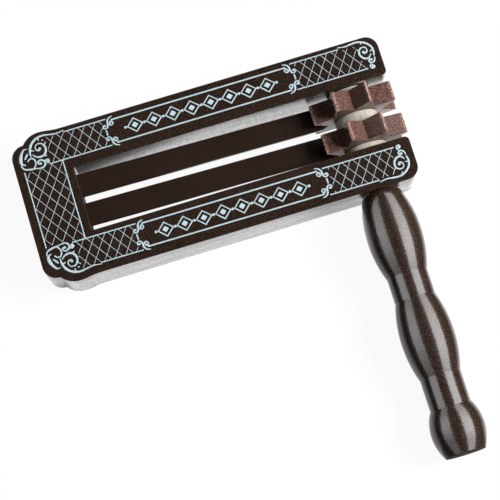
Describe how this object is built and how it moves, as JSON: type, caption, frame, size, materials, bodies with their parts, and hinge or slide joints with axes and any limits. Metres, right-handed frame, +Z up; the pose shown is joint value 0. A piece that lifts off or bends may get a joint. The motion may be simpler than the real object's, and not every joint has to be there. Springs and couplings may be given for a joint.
{
  "type": "ratchet noisemaker",
  "caption": "Wooden ratchet noisemaker: a slotted frame with springy tongues that click over star wheels on a cranked, turned handle.",
  "frame": {"origin": "middle of the whole outline in plan, at the level of the lowest wheel tooth", "axes": "+X along the frame's arms from the closed end to the wheels, -Y along the handle from the frame to the knob, +Z up out of the decorated face"},
  "size_m": [0.1492, 0.1648, 0.0338],
  "materials": {
    "brown_lacquer": "gloss lacquer",
    "red_brown_stain": "matte stain",
    "bare_wood": "sanded",
    "steel": "satin",
    "silver_print": "screen print"
  },
  "bodies": {
    "frame": {"frame": "brown_lacquer", "tongue_brads": "steel"},
    "crank": {"axle": "bare_wood", "handle": "brown_lacquer", "upper_ratchet_wheel": "red_brown_stain", "lower_ratchet_wheel": "red_brown_stain", "upper_spacer": "bare_wood", "centre_spacer": "bare_wood", "lower_spacer": "bare_wood", "wheel_pins": "steel", "handle_pin": "steel"},
    "upper_tongue": {"upper_tongue": "brown_lacquer"},
    "lower_tongue": {"lower_tongue": "brown_lacquer"}
  },
  "joints": [
    {"name": "crank_spin", "type": "hinge", "parent": "frame", "child": "crank", "pos_m": [0.05765, 0.052, 0.01691], "axis": [0, 1, 0], "continuous": true, "deforming": ["upper_tongue", "lower_tongue"]},
    {"name": "upper_tongue_flex", "type": "hinge", "parent": "frame", "child": "upper_tongue", "pos_m": [-0.03805, 0.05795, 0.02204], "axis": [0, -1, 0], "range_deg": [-7.5, 9.5], "stiffness_Nm_per_rad": 1.2},
    {"name": "lower_tongue_flex", "type": "hinge", "parent": "frame", "child": "lower_tongue", "pos_m": [-0.03805, 0.04605, 0.02204], "axis": [0, -1, 0], "range_deg": [-7.5, 9.5], "stiffness_Nm_per_rad": 1.2}
  ]
}
